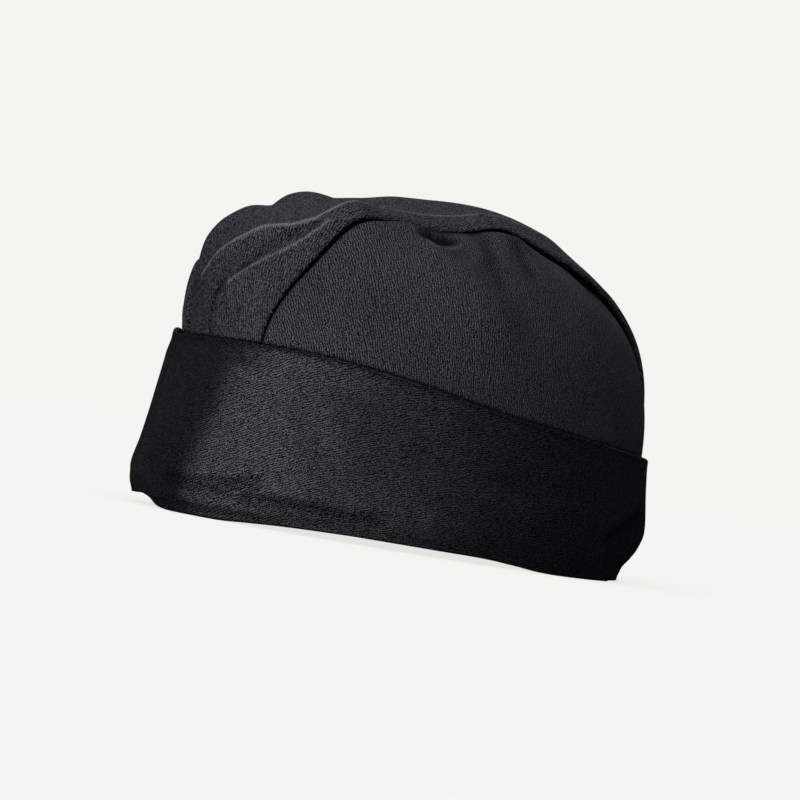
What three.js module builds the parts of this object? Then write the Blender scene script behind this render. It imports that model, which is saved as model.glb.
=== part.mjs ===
import * as THREE from "three";

// A cloth skull cap for a cook: a wide folded band, a strip that runs over the head from front to back,
// and a panel on each side of it. Sizes are in millimetres and the rim rests on the ground. The front is
// towards -Y, the wearer's left towards +X. Azimuths are in degrees from the front towards the wearer's left.

// Driving sizes

const SIDE_REACH = 87; // of the band's outside from the middle, where it is widest
const FRONT_REACH = 101.5;
const BACK_REACH = 109;
const BAND_HEIGHT = 65;
const CROWN_HEIGHT = 124; // before its puffs
const STRIP_WIDTH = 54; // over the top of the head
const BAND_THICKNESS = 2.4; // two layers of cloth and the air between them
const PANEL_THICKNESS = 1.2;
const PIECE_GAP = 0.4;

// The strip narrows as it comes down to the band at the front

const NARROWING = { share: 0.2, height: 36, reach: 45, fade: 40 };

// Sizes of the hidden joins

const SEAM_ALLOWANCE = 5;
const SHOULDER = 1.9; // radius at which a panel turns in at its seam
const SKIRT = 6; // how far the crown runs straight down inside the band
const TUCK = 5; // how far below the band's top the crown starts to lean in
const CLEARING = { below: 0.5, reach: 4 }; // heights near the band's top over which folds of the crown set in

// The band's reach at its heights, as shares of the three reaches above

const BAND_SECTIONS = [
  { height: 0.0, side: 0.966, front: 0.99, back: 0.868 },
  { height: 0.08, side: 0.986, front: 1.0, back: 0.89 },
  { height: 0.18, side: 1.0, front: 1.004, back: 0.928 },
  { height: 0.36, side: 0.998, front: 0.99, back: 0.965 },
  { height: 0.6, side: 0.982, front: 0.968, back: 0.975 },
  { height: 1.0, side: 0.955, front: 0.94, back: 0.962 },
];

// The heights of the band's top and rim round the head, as shares of the band's height

const BAND_EDGES = [
  { azimuth: -180, top: 0.745, rim: 0.17 },
  { azimuth: -154, top: 0.745, rim: 0.16 },
  { azimuth: -133, top: 0.75, rim: 0 },
  { azimuth: -102, top: 0.79, rim: 0 },
  { azimuth: -76, top: 0.87, rim: 0.03 },
  { azimuth: -52, top: 0.985, rim: 0.05 },
  { azimuth: -38, top: 1.045, rim: 0.05 },
  { azimuth: -24, top: 1.0, rim: 0.058 },
  { azimuth: -13, top: 0.995, rim: 0.07 },
  { azimuth: -6, top: 0.994, rim: 0.04 },
  { azimuth: 3, top: 0.994, rim: 0 },
  { azimuth: 18, top: 0.993, rim: 0 },
  { azimuth: 34, top: 0.985, rim: 0.03 },
  { azimuth: 55, top: 0.935, rim: 0.055 },
  { azimuth: 80, top: 0.84, rim: 0.045 },
  { azimuth: 102, top: 0.79, rim: 0 },
  { azimuth: 133, top: 0.75, rim: 0 },
  { azimuth: 154, top: 0.745, rim: 0.16 },
  { azimuth: 180, top: 0.745, rim: 0.17 },
];

// Soft creases and dents of the band, each along a line between two places on it

const BAND_FOLDS = [
  { from: [-20, 0.97], to: [-27, 0.25], lift: -1.3, width: 7 },
  { from: [-36, 0.9], to: [-38, 0.2], lift: 1.2, width: 6 },
  { from: [-36, 0.12], to: [-28, 0.12], lift: 1.6, width: 11 },
  { from: [-22, 0.22], to: [4, 0.17], lift: -0.9, width: 4 },
  { from: [0, 0.3], to: [24, 0.24], lift: -0.7, width: 4 },
  { from: [64, 0.62], to: [86, 0.5], lift: -0.8, width: 7 },
  { from: [120, 0.2], to: [136, 0.15], lift: -2.6, width: 6 },
];

// Gathers that draw the band in at the back

const GATHER_COUNT = 32; // as if they ran right round
const GATHER_DEPTH = 2.6;
const GATHER_ZONE = { from: 122, full: 146 };
const GATHER_TOP = 0.78; // share of the band's height at which they have died out

// How square the crown's outline is round the head: 2 is a plain ellipse

const CROWN_OUTLINE = [
  { azimuth: -180, power: 2.55 },
  { azimuth: -90, power: 2.4 },
  { azimuth: -40, power: 3.1 },
  { azimuth: 0, power: 2.7 },
  { azimuth: 24, power: 2.15 },
  { azimuth: 90, power: 2.2 },
  { azimuth: 180, power: 2.55 },
];

// Dents and bulges that the seams share with both pieces beside them, as plan shares, with how far
// they reach across and along

const CROWN_DENTS = [
  { at: [0.38, -0.14], lift: -0.8, across: 11, along: 20 },
  { at: [0.36, -0.42], lift: 3.2, across: 10, along: 12 },
  { at: [0.28, -0.61], lift: 8.6, across: 12, along: 12 },
  { at: [0.34, 0.13], lift: 3.5, across: 12, along: 15 },
];

// The strip from the front to the back: how far its middle puffs up, how far each edge stands
// above the side panel and how far it leans out over it

const STRIP_SECTIONS = [
  { way: 0.0, puff: 0, left: 0, right: 0, leftLean: 0, rightLean: 0 },
  { way: 0.08, puff: 1.2, left: 0.4, right: 0.6, leftLean: 0.4, rightLean: 0.2 },
  { way: 0.2, puff: 2.6, left: 1.4, right: 3.6, leftLean: 1, rightLean: 0.8 },
  { way: 0.33, puff: 2.8, left: 0.6, right: 2.6, leftLean: 0.6, rightLean: 1 },
  { way: 0.42, puff: 3.6, left: 0.4, right: 2.6, leftLean: 0.3, rightLean: 0.6 },
  { way: 0.55, puff: 6, left: 2.2, right: 2, leftLean: 1.8, rightLean: 0.6 },
  { way: 0.7, puff: 4.2, left: 3.8, right: 2, leftLean: 3, rightLean: 0.8 },
  { way: 0.84, puff: 3, left: 4.8, right: 1.6, leftLean: 3.4, rightLean: 0.8 },
  { way: 0.94, puff: 1, left: 3, right: 0.6, leftLean: 2.4, rightLean: 0.3 },
  { way: 1.0, puff: 0, left: 0, right: 0, leftLean: 0, rightLean: 0 },
];

// Folds and puffs of the crown, each along a line between two places given as plan shares of the
// crown's half width and half length

const STRIP_FOLDS = [
  { from: [-0.15, -0.96], to: [0.27, -0.67], lift: 1.6, width: 5 },
  { from: [0.08, -0.965], to: [0.3, -0.68], lift: 1.2, width: 5 },
  { from: [0.1, -0.93], to: [0.26, -0.72], lift: -1.2, width: 4 },
  { from: [-0.27, -0.93], to: [-0.22, -0.86], lift: 1.3, width: 5 },
  { from: [-0.3, -0.86], to: [-0.2, -0.8], lift: 2.2, width: 7 },
  { from: [-0.3, -0.66], to: [-0.16, -0.68], lift: -1.8, width: 5 },
  { from: [-0.25, -0.56], to: [0, -0.6], lift: 2.6, width: 7 },
  { from: [-0.05, -0.44], to: [0.1, -0.42], lift: -1.2, width: 7 },
  { from: [0.02, -0.2], to: [0.18, 0.4], lift: 1.8, width: 10 },
];

const LEFT_FOLDS = [
  { from: [0.48, 0.1], to: [0.72, 0.3], lift: 1.4, width: 10 },
  { from: [0.4, 0.52], to: [0.5, 0.58], lift: -1.6, width: 8 },
  { from: [0.42, 0.02], to: [0.46, 0.12], lift: 1.6, width: 6 },
  { from: [0.5, -0.55], to: [0.86, -0.3], lift: 1.4, width: 22 },
];

const RIGHT_FOLDS = [
  { from: [-0.45, -0.89], to: [-0.74, -0.67], lift: 1.9, width: 8 },
  { from: [-0.42, -0.84], to: [-0.55, -0.6], lift: 1.6, width: 18 },
  { from: [-0.42, -0.4], to: [-0.5, -0.2], lift: 2.4, width: 14 },
  { from: [-0.6, 0.2], to: [-0.5, 0.5], lift: 2.5, width: 18 },
  { from: [-0.36, -0.935], to: [-0.41, -0.87], lift: 2, width: 4.5 },
];

// How finely the surfaces are cut

const BAND_STEP = { plain: 4, gathered: 2.5 }; // degrees
const BAND_ROWS = [0.05, 0.13, 0.22, 0.36, 0.53, 0.73, 0.94];
const CAP_STEPS = 3;
const STRIP_STATIONS = 50;
const STRIP_ACROSS = 14;
const PANEL_STATIONS = 26;
const PANEL_ROWS = 9;
const SHOULDER_STEPS = 3;

// Plain helpers

const RADIANS = Math.PI / 180;
const UP = new THREE.Vector3(0, 0, 1);

const vector = (x, y, z) => new THREE.Vector3(x, y, z);
const mix = (a, b, share) => a + (b - a) * share;
const clamp = (value) => Math.min(1, Math.max(0, value));
const ease = (value) => clamp(value) ** 2 * (3 - 2 * clamp(value));

/** A column of a table at a place along another column, smoothly and without overshoot. */
function along(rows, place, column, at) {
  const after = rows.findIndex((row) => row[place] > at);
  if (after === 0) return rows[0][column];
  if (after < 0) return rows[rows.length - 1][column];
  const rise = (i) => (rows[i + 1][column] - rows[i][column]) / (rows[i + 1][place] - rows[i][place]);
  const slope = (i) => {
    if (i === 0 || i === rows.length - 1 || rise(i - 1) * rise(i) <= 0) return 0;
    return (2 * rise(i - 1) * rise(i)) / (rise(i - 1) + rise(i));
  };
  const start = rows[after - 1];
  const end = rows[after];
  const span = end[place] - start[place];
  const t = (at - start[place]) / span;
  return (
    start[column] * (1 + 2 * t) * (1 - t) ** 2 +
    end[column] * (3 - 2 * t) * t ** 2 +
    span * t * (1 - t) * (slope(after - 1) * (1 - t) - slope(after) * t)
  );
}

/** Where an oval with its own reach to the side, front and back passes an azimuth. */
function onOval(azimuth, side, front, back) {
  const forward = Math.cos(azimuth * RADIANS);
  return [side * Math.sin(azimuth * RADIANS), -(forward > 0 ? front : back) * forward];
}

/** The outward normal of a surface at a place, from two small steps along it. */
function normalOf(surface, u, v, step = 1e-3) {
  const alongU = surface(u + step, v).sub(surface(u - step, v));
  const alongV = surface(u, v + step).sub(surface(u, v - step));
  return alongU.cross(alongV).normalize();
}

/** The lift that soft folds give at a point. Each fold is a line drawn on the surface. */
function foldLift(folds, point, surface) {
  let lift = 0;
  for (const fold of folds) {
    fold.line ??= [0, 0.25, 0.5, 0.75, 1].map((t) =>
      surface(mix(fold.from[0], fold.to[0], t), mix(fold.from[1], fold.to[1], t)),
    );
    let nearest = Infinity;
    for (let i = 0; i < fold.line.length - 1; i += 1) {
      const piece = new THREE.Line3(fold.line[i], fold.line[i + 1]);
      const closest = piece.closestPointToPoint(point, true, vector(0, 0, 0));
      nearest = Math.min(nearest, closest.distanceTo(point));
    }
    lift += fold.lift * Math.exp(-((nearest / fold.width) ** 2));
  }
  return lift;
}

/** A closed solid from an outer and an inner grid of points that share their layout. */
function shell(name, color, outer, inner, closedRound = false) {
  const columns = outer.length;
  const rows = outer[0].length;
  const corners = [];
  const triangle = (a, b, c) => {
    const area = b.clone().sub(a).cross(c.clone().sub(a)).length() / 2;
    if (area > 1e-4) corners.push(a, b, c);
  };
  const quad = (a, b, c, d) => {
    triangle(a, b, c);
    triangle(a, c, d);
  };
  const spans = closedRound ? columns : columns - 1;
  for (let i = 0; i < spans; i += 1) {
    const k = (i + 1) % columns;
    for (let j = 0; j < rows - 1; j += 1) {
      quad(outer[i][j], outer[k][j], outer[k][j + 1], outer[i][j + 1]);
      quad(inner[i][j], inner[i][j + 1], inner[k][j + 1], inner[k][j]);
    }
    quad(outer[i][0], inner[i][0], inner[k][0], outer[k][0]);
    quad(outer[i][rows - 1], outer[k][rows - 1], inner[k][rows - 1], inner[i][rows - 1]);
  }
  if (!closedRound) {
    for (let j = 0; j < rows - 1; j += 1) {
      quad(outer[0][j], outer[0][j + 1], inner[0][j + 1], inner[0][j]);
      const last = columns - 1;
      quad(outer[last][j], inner[last][j], inner[last][j + 1], outer[last][j + 1]);
    }
  }
  const geometry = new THREE.BufferGeometry().setFromPoints(corners);
  geometry.computeVertexNormals();
  const material = new THREE.MeshStandardMaterial({ color, roughness: 0.85, side: THREE.FrontSide });
  const mesh = new THREE.Mesh(geometry, material);
  mesh.name = name;
  return mesh;
}

// The band

const bandTop = (azimuth) => BAND_HEIGHT * along(BAND_EDGES, "azimuth", "top", azimuth);
const bandRim = (azimuth) => BAND_HEIGHT * along(BAND_EDGES, "azimuth", "rim", azimuth);

function bandReach(share) {
  return [
    SIDE_REACH * along(BAND_SECTIONS, "height", "side", share),
    FRONT_REACH * along(BAND_SECTIONS, "height", "front", share),
    BACK_REACH * along(BAND_SECTIONS, "height", "back", share),
  ];
}

/** The band's smooth outside at an azimuth and a share of its height. */
function bandBase(azimuth, share) {
  const [x, y] = onOval(azimuth, ...bandReach(share));
  return vector(x, y, bandRim(azimuth) * (1 - share) ** 2 + bandTop(azimuth) * share);
}

function gatherLift(azimuth, share) {
  const zone = ease((Math.abs(azimuth) - GATHER_ZONE.from) / (GATHER_ZONE.full - GATHER_ZONE.from));
  const depth = GATHER_DEPTH * zone * ease(1 - share / GATHER_TOP);
  return depth * Math.cos(azimuth * RADIANS * GATHER_COUNT + 2.2 * Math.sin(azimuth * RADIANS * 5));
}

function bandOutside(azimuth, share) {
  const base = bandBase(azimuth, share);
  const out = vector(base.x, base.y, 0).normalize();
  const away = clamp((1 - share) * 8); // folds die out where the band hides the crown
  const lift = foldLift(BAND_FOLDS, base, bandBase) * away + gatherLift(azimuth, share);
  return base.addScaledVector(out, lift);
}

function buildBand() {
  const azimuths = [];
  for (let azimuth = -180; azimuth < 180 - 1e-6; ) {
    azimuths.push(azimuth);
    const middle = azimuth + BAND_STEP.plain / 2;
    azimuth += Math.abs(middle) > GATHER_ZONE.from ? BAND_STEP.gathered : BAND_STEP.plain;
  }
  const half = BAND_THICKNESS / 2;
  const outer = [];
  const inner = [];
  for (const azimuth of azimuths) {
    const outside = BAND_ROWS.map((share) => bandOutside(azimuth, share));
    const normals = BAND_ROWS.map((share) => normalOf(bandOutside, azimuth, share));
    const inside = outside.map((point, i) => point.clone().addScaledVector(normals[i], -BAND_THICKNESS));
    const rim = bandOutside(azimuth, 0);
    const level = normalOf(bandOutside, azimuth, 0).setZ(0).normalize();
    outside.unshift(rim.clone().addScaledVector(level, -0.15 * BAND_THICKNESS));
    inside.unshift(rim.clone().addScaledVector(level, -0.85 * BAND_THICKNESS));
    const top = bandOutside(azimuth, 1);
    const lean = normalOf(bandOutside, azimuth, 1 - 1e-3).setZ(0).normalize();
    const middle = top.clone().addScaledVector(lean, -half).addScaledVector(UP, -half);
    for (let i = 0; i <= CAP_STEPS; i += 1) {
      const turn = (Math.PI * i) / (2 * CAP_STEPS);
      for (const [side, points] of [[1, outside], [-1, inside]]) {
        const reach = half * Math.cos(turn) * side;
        points.push(middle.clone().addScaledVector(lean, reach).addScaledVector(UP, half * Math.sin(turn)));
      }
    }
    outer.push(outside);
    inner.push(inside);
  }
  return shell("band", 0x1c1c1f, outer, inner, true);
}

// The crown's shape, which the strip and both side panels share

const CROWN_REACH = bandReach(1).map((reach) => reach - BAND_THICKNESS - PIECE_GAP);
const CROWN_ARC = (Math.PI / 2) * CROWN_REACH[0];

/** The crown's smooth outside at a distance from its top, as a share of the way down, and an azimuth. */
function crownAt(azimuth, down) {
  const share = Math.min(down, 1);
  const radius = Math.sin((share * Math.PI) / 2);
  const [x, y] = onOval(azimuth, ...CROWN_REACH.map((reach) => reach * radius));
  const power = along(CROWN_OUTLINE, "azimuth", "power", azimuth);
  const rise = Math.max(0, 1 - radius ** power) ** (1 / power);
  const low = bandTop(azimuth) - TUCK;
  let height = mix(low, CROWN_HEIGHT, rise);
  for (const dent of CROWN_DENTS) {
    const across = (x - dent.at[0] * CROWN_REACH[0]) / dent.across;
    const length = (y - dent.at[1] * CROWN_REACH[1]) / dent.along;
    height += dent.lift * Math.exp(-(across ** 2) - length ** 2);
  }
  return vector(x, y, height - Math.max(0, down - 1) * CROWN_ARC);
}

/** The same shape by its flattened map, in which the top is the origin and the band's top a unit circle. */
const crownOnMap = (u, v) => crownAt(Math.atan2(u, -v) / RADIANS, Math.hypot(u, v));

/** The same shape by plan shares of its half width and half length. */
function crownInPlan(across, lengthways) {
  const radius = Math.min(1, Math.hypot(across, lengthways));
  const azimuth = Math.atan2(across, -lengthways) / RADIANS;
  return crownAt(azimuth, (Math.asin(radius) * 2) / Math.PI);
}

/** A point of the crown in a slice at a distance across, at an angle over from the front to the back. */
function crownInSlice(x, over) {
  const across = x / CROWN_REACH[0];
  const length = Math.sqrt(1 - across ** 2);
  if (over < 0 || over > Math.PI) {
    const azimuth = Math.atan2(across, over < 0 ? length : -length) / RADIANS;
    const below = over < 0 ? -over : over - Math.PI;
    return crownAt(azimuth, 1 + (below * 2) / Math.PI);
  }
  return crownInPlan(across, -length * Math.cos(over));
}

/** Draws the crown's seams together where the strip narrows. */
function narrowed(point) {
  const low = ease(1 - (point.z - BAND_HEIGHT) / NARROWING.height) * ease(-point.y / NARROWING.fade);
  point.x *= 1 - NARROWING.share * low * Math.exp(-((point.x / NARROWING.reach) ** 2));
  return point;
}

/** Displacements fade out towards the band, which would otherwise be in their way. */
function clearOfBand(point) {
  const azimuth = Math.atan2(point.x / CROWN_REACH[0], -point.y / CROWN_REACH[1]) / RADIANS;
  return ease((point.z - bandTop(azimuth) + CLEARING.below) / CLEARING.reach);
}

const SKIRT_ANGLE = (SKIRT / CROWN_ARC) * (Math.PI / 2);
const SEAM_AT = STRIP_WIDTH / 2;

/** The angles over the head at which the crown is cut, closer together where it turns fastest. */
function stations(count) {
  const angles = [-SKIRT_ANGLE, 0];
  for (let i = 1; i < count - 2; i += 1) angles.push((Math.PI * i) / (count - 2));
  angles.push(Math.PI, Math.PI + SKIRT_ANGLE);
  return angles;
}

// The strip over the middle

/** The strip's outside: share across is -1 at the right seam and 1 at the left one. */
function stripOutside(over, across) {
  const way = clamp(over / Math.PI);
  const value = (column) => along(STRIP_SECTIONS, "way", column, way);
  const left = clamp((across + 1) / 2);
  const lift = mix(value("right"), value("left"), left);
  const radius = Math.max(SHOULDER, lift);
  const start = 1 - radius / SEAM_AT;
  const turned = clamp((Math.abs(across) - start) / (1 - start));
  const standing = Math.sqrt(1 - turned ** 2);
  const lean = (across > 0 ? value("leftLean") : value("rightLean")) * 4 * standing * (1 - standing);
  const edge = SEAM_AT - PIECE_GAP / 2;
  const base = crownInSlice(edge * across, over);
  const normal = crownNormal(edge * across, over);
  const puff = value("puff") * (1 - across ** 2) + lift;
  const folds = foldLift(STRIP_FOLDS, base, crownInPlan) * (1 - turned);
  const height = (puff + folds) * clearOfBand(base) - radius * (1 - standing);
  base.addScaledVector(normal, height);
  base.x += Math.sign(across) * lean;
  return base;
}

/** The crown's outward normal within a slice, so that points moved along it stay in the slice. */
function crownNormal(x, over, step = 1e-3) {
  const path = crownInSlice(x, over + step).sub(crownInSlice(x, over - step)).setX(0);
  return vector(0, -path.z, path.y).normalize();
}

function buildStrip() {
  const outer = [];
  const inner = [];
  const shares = [];
  for (let i = 0; i <= STRIP_ACROSS; i += 1) {
    const share = (2 * i) / STRIP_ACROSS - 1;
    shares.push(Math.sin((share * Math.PI) / 2) * (1 - 1e-4)); // short of the seam, where it turns in
  }
  for (const over of stations(STRIP_STATIONS)) {
    const outside = [];
    const inside = [];
    for (const across of shares) {
      const point = stripOutside(over, across);
      const normal = normalOf((u, v) => stripOutside(v, u), across, over, 2e-5);
      outside.push(point);
      inside.push(point.clone().addScaledVector(normal, -PANEL_THICKNESS));
    }
    for (const side of [-1, 1]) {
      const foot = outside[side < 0 ? 0 : outside.length - 1].clone();
      foot.x = side * (SEAM_AT - PIECE_GAP / 2);
      const inwards = crownNormal(foot.x, over).multiplyScalar(-SEAM_ALLOWANCE);
      const end = foot.clone().add(inwards);
      const endInside = end.clone().setX(end.x - side * PANEL_THICKNESS);
      if (side < 0) {
        outside.unshift(end);
        inside.unshift(endInside);
      } else {
        outside.push(end);
        inside.push(endInside);
      }
    }
    outer.push(outside);
    inner.push(inside);
  }
  [...outer, ...inner].flat().forEach(narrowed);
  return shell("top_strip", 0x242427, outer.reverse(), inner.reverse());
}

// The side panels

/** A side panel's outside by the flattened map. The right one is mirrored, so that both are built alike. */
function panelOutside(u, v, folds, side) {
  const base = crownOnMap(u * side, v);
  const normal = normalOf(crownOnMap, u * side, v);
  const fromSeam = ease((Math.abs(base.x) - SEAM_AT) / 9);
  const lift = foldLift(folds, base, crownInPlan) * fromSeam * clearOfBand(base);
  base.addScaledVector(normal, lift);
  base.x *= side;
  return base;
}

/** Where the seam passes on the flattened map, at an angle over the head. */
function seamOnMap(x, over) {
  const across = x / CROWN_REACH[0];
  const length = Math.sqrt(1 - across ** 2);
  const azimuth = Math.atan2(across, length * Math.cos(clamp(over / Math.PI) * Math.PI));
  const radius = Math.min(1, Math.hypot(across, length * Math.cos(clamp(over / Math.PI) * Math.PI)));
  const below = (Math.max(0, -over) + Math.max(0, over - Math.PI)) * (2 / Math.PI);
  const down = (Math.asin(radius) * 2) / Math.PI + below;
  return [Math.sin(azimuth) * down, -Math.cos(azimuth) * down];
}

function buildPanel(name, side, folds) {
  const seam = SEAM_AT + PIECE_GAP / 2;
  const shoulder = seam + SHOULDER * 1.25;
  const surface = (u, v) => panelOutside(u, v, folds, side);
  const firstAzimuth = Math.asin(shoulder / CROWN_REACH[0]);
  const skirt = 1 + (SKIRT_ANGLE * 2) / Math.PI;
  const angles = stations(PANEL_STATIONS);
  const outer = [];
  const inner = [];
  for (const over of angles) {
    const way = (over + SKIRT_ANGLE) / (Math.PI + 2 * SKIRT_ANGLE);
    const azimuth = mix(firstAzimuth, Math.PI - firstAzimuth, way);
    const foot = [Math.sin(azimuth) * skirt, -Math.cos(azimuth) * skirt];
    const head = seamOnMap(shoulder, over);
    const outside = [];
    const inside = [];
    for (let j = 0; j <= PANEL_ROWS; j += 1) {
      const share = j / PANEL_ROWS;
      const u = mix(foot[0], head[0], share);
      const v = mix(foot[1], head[1], share);
      const point = surface(u, v);
      const normal = normalOf(surface, u, v);
      outside.push(point);
      inside.push(point.clone().addScaledVector(normal, -PANEL_THICKNESS));
    }
    const last = outside[PANEL_ROWS];
    const start = last.clone().sub(inside[PANEL_ROWS]).divideScalar(PANEL_THICKNESS);
    const toSeam = vector(-1, 0, 0);
    const slice = crownNormal(seam * side, over);
    for (let k = 1; k <= SHOULDER_STEPS; k += 1) {
      const share = k / SHOULDER_STEPS;
      const facing = start.clone().lerp(toSeam, share ** 1.2).normalize();
      const point = last.clone().addScaledVector(facing.clone().sub(start), SHOULDER);
      const rest = last.clone().addScaledVector(toSeam.clone().sub(start), SHOULDER);
      point.x += (seam - rest.x) * share;
      outside.push(point);
      inside.push(point.clone().addScaledVector(facing, -PANEL_THICKNESS));
    }
    const end = outside[outside.length - 1].clone().addScaledVector(slice, -SEAM_ALLOWANCE);
    end.x = seam;
    outside.push(end);
    inside.push(end.clone().setX(seam + PANEL_THICKNESS));
    outer.push(outside);
    inner.push(inside);
  }
  [...outer, ...inner].flat().forEach(narrowed);
  if (side < 0) {
    for (const point of [...outer, ...inner].flat()) point.x *= -1;
    outer.reverse();
    inner.reverse();
  }
  return shell(name, 0x202023, outer, inner);
}

// Assembly

const cap = new THREE.Group();
cap.name = "chef_skull_cap";
cap.add(buildBand());
cap.add(buildStrip());
cap.add(buildPanel("left_side_panel", 1, LEFT_FOLDS));
cap.add(buildPanel("right_side_panel", -1, RIGHT_FOLDS));

const bounds = new THREE.Box3().setFromObject(cap);
const centre = bounds.getCenter(vector(0, 0, 0));
cap.position.set(-centre.x, -centre.y, -bounds.min.z);
cap.updateMatrixWorld(true);

export default cap;
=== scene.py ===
"""The cloth of a cook's skull cap in black twill, on a pale stage.

The cap is a wide folded band, a strip that runs over the head from the front to the back, and a panel on
each side of it. Lengths are in metres unless a table says otherwise. The rim rests on the ground, the front
is towards -Y and the wearer's left towards +X. Azimuths are in degrees from the front towards +X.
"""

import math

import bpy
import numpy as np
from mathutils import Matrix, Vector


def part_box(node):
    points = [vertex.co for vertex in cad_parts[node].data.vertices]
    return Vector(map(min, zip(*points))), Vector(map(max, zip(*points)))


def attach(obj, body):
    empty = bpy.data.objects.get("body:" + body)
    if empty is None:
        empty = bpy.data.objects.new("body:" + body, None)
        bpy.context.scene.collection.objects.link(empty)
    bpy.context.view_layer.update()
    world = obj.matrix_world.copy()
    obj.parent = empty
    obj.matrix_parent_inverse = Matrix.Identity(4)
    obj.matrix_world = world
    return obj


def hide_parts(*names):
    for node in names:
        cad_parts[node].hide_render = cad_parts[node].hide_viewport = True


bl_info = {
    "name": "Skull cap cloth",
    "version": (1, 0, 0),
    "blender": (4, 5, 0),
    "location": "View3D > Sidebar > Skull Cap",
    "description": "Makes the twill pieces of a cook's skull cap and a pale stage for them",
    "category": "Object",
}

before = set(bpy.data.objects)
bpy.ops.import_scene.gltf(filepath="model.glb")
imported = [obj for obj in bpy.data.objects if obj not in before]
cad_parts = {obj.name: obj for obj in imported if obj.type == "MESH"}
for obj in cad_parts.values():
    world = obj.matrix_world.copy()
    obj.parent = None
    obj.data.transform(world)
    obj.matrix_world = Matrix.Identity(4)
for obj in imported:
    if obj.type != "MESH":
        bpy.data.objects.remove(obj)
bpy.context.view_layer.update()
MM = 0.001


def table(columns, *rows):
    """A small table with named columns, and a row for each section or fold."""
    return dict(zip(columns.split(), np.array(rows, float).T))


# The band's reach at its heights, as shares of its widest reach to the side, the front and the back

BAND_SECTIONS = table(
    "height side front back",
    (0.00, 0.966, 0.990, 0.868),
    (0.08, 0.986, 1.000, 0.890),
    (0.18, 1.000, 1.004, 0.928),
    (0.36, 0.998, 0.990, 0.965),
    (0.60, 0.982, 0.968, 0.975),
    (1.00, 0.955, 0.940, 0.962),
)

# The heights of the band's top and rim round the head, as shares of the band's height

BAND_EDGES = table(
    "azimuth top rim",
    (-180, 0.745, 0.17),
    (-154, 0.745, 0.16),
    (-133, 0.75, 0),
    (-102, 0.79, 0),
    (-76, 0.87, 0.03),
    (-52, 0.985, 0.05),
    (-38, 1.045, 0.05),
    (-24, 1.0, 0.058),
    (-13, 0.995, 0.07),
    (-6, 0.994, 0.04),
    (3, 0.994, 0),
    (18, 0.993, 0),
    (34, 0.985, 0.025),
    (55, 0.935, 0.04),
    (80, 0.84, 0.035),
    (102, 0.79, 0),
    (133, 0.75, 0),
    (154, 0.745, 0.16),
    (180, 0.745, 0.17),
)

# How square the crown's outline is round the head: 2 is a plain ellipse

CROWN_OUTLINE = table(
    "azimuth power",
    (-180, 2.55),
    (-90, 2.4),
    (-40, 3.1),
    (0, 2.7),
    (24, 2.15),
    (90, 2.2),
    (180, 2.55),
)

# Dents and bulges that the seams share with both pieces beside them: where, in plan shares, how high,
# and how far they reach across and along, in millimetres

CROWN_DENTS = table(
    "x y lift across along",
    (0.38, -0.14, -0.8, 11, 20),
    (0.36, -0.42, 3.2, 10, 12),
    (0.28, -0.61, 8.6, 12, 12),
    (0.34, 0.13, 3.5, 12, 15),
)

# The strip from the front to the back: how far its middle puffs up, how far each edge stands above the
# side panel and how far it leans out over it, in millimetres

STRIP_SECTIONS = table(
    "way puff left right left_lean right_lean",
    (0.00, 0, 0, 0, 0, 0),
    (0.08, 1.2, 0.4, 2.4, 0.4, 0.6),
    (0.20, 2.6, 1.4, 4.8, 1, 1.2),
    (0.33, 2.8, 0.6, 2.6, 0.6, 1),
    (0.42, 3.6, 0.4, 2.6, 0.3, 0.6),
    (0.55, 6, 2.2, 2, 1.8, 0.6),
    (0.70, 4.2, 3.8, 2, 3, 0.8),
    (0.84, 3, 4.8, 1.6, 3.4, 0.8),
    (0.94, 1, 3, 0.6, 2.4, 0.3),
    (1.00, 0, 0, 0, 0, 0),
)

# Folds, puffs and creases. Each runs through two or three places on its piece, and has a lift and a width to
# its left and right in millimetres. A power of 2 is a soft round fold, and a lower one has a sharper crest.
# Places on the band are azimuths and shares of its height. Places on the crown are plan shares.

# The last column is rubbing with a painted highlight along the crest where above 0, and painted shade in the
# crease where below 0.
FOLD_COLUMNS = "x0 y0 x1 y1 x2 y2 lift left right power wear"

BAND_FOLDS = table(
    FOLD_COLUMNS,
    (-20, 0.97, -23.5, 0.61, -27, 0.25, -1.3, 7, 7, 2, 0),
    (-36, 0.90, -37, 0.55, -38, 0.20, 1.2, 6, 6, 2, 0),
    (-36, 0.12, -32, 0.12, -28, 0.12, 1.6, 11, 11, 2, 0),
    (13.5, 0.96, 11.5, 0.58, 8, 0.18, 2.6, 15, 17, 2, 0),
    (-22, 0.22, -9, 0.195, 4, 0.17, -0.9, 4, 4, 2, 0),
    (2, 0.19, 15, 0.20, 28, 0.25, -1.0, 2, 4, 1.6, -0.3),
    (26, 0.155, 38, 0.135, 56, 0.135, -0.8, 2, 4, 1.6, -0.35),
    (8, 0.10, 20, 0.09, 34, 0.06, 0.7, 3, 3, 2, 0),
    (46, 0.24, 55, 0.20, 64, 0.20, -0.4, 3, 4, 2, 0),
    (36, 0.80, 38, 0.60, 42, 0.46, -0.4, 6, 6, 2, 0),
    (64, 0.62, 75, 0.56, 86, 0.50, -0.8, 7, 7, 2, 0),
    (120, 0.20, 128, 0.17, 136, 0.15, -2.6, 6, 6, 2, 0),
    (117, 0.36, 123, 0.44, 134, 0.56, -1.8, 3, 4, 1.8, -0.5),
    (117, 0.43, 122, 0.50, 127, 0.66, 0.7, 2.5, 2.5, 1.8, 0.12),
)

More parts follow.
